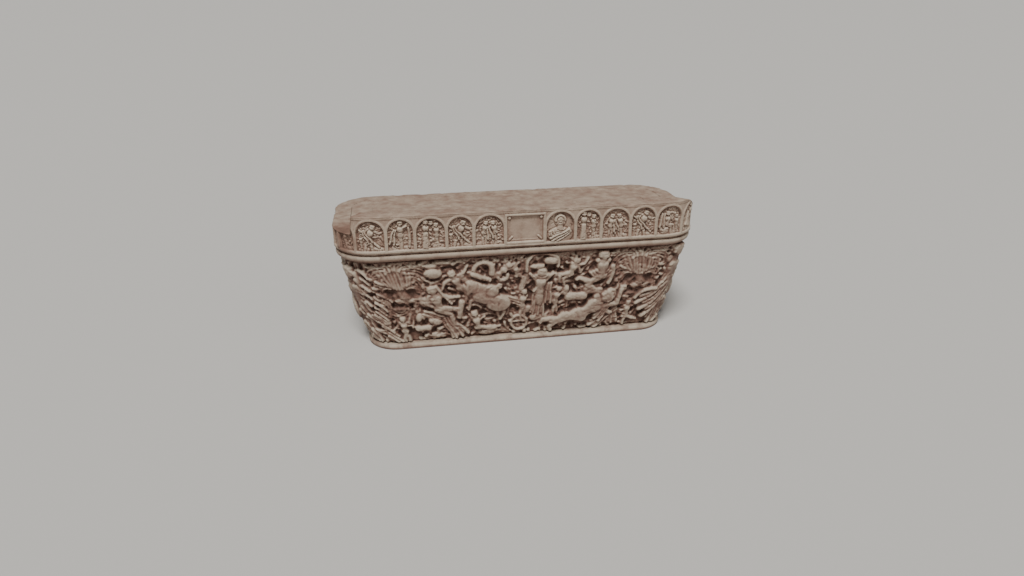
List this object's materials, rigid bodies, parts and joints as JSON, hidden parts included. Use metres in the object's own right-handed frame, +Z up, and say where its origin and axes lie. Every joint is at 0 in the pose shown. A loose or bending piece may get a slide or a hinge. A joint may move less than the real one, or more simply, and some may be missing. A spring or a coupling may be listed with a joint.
{
  "type": "stone sarcophagus",
  "caption": "Tub-shaped marble sarcophagus with rounded ends, a crowded carved frieze between two lion masks, and a lid whose raised front carries an arcade of niches.",
  "frame": {"origin": "on the floor, below the middle of the whole", "axes": "+X along the length, -Y towards the carved front, +Z up"},
  "size_m": [1.905, 0.711, 0.7453],
  "materials": {
    "chest": "weathered carved marble, warm pinkish beige with brown dirt in the hollows",
    "lid": "weathered carved marble, warm pinkish beige with brown dirt in the hollows"
  },
  "bodies": {
    "root": {"chest": "chest", "lid": "lid"}
  },
  "joints": []
}
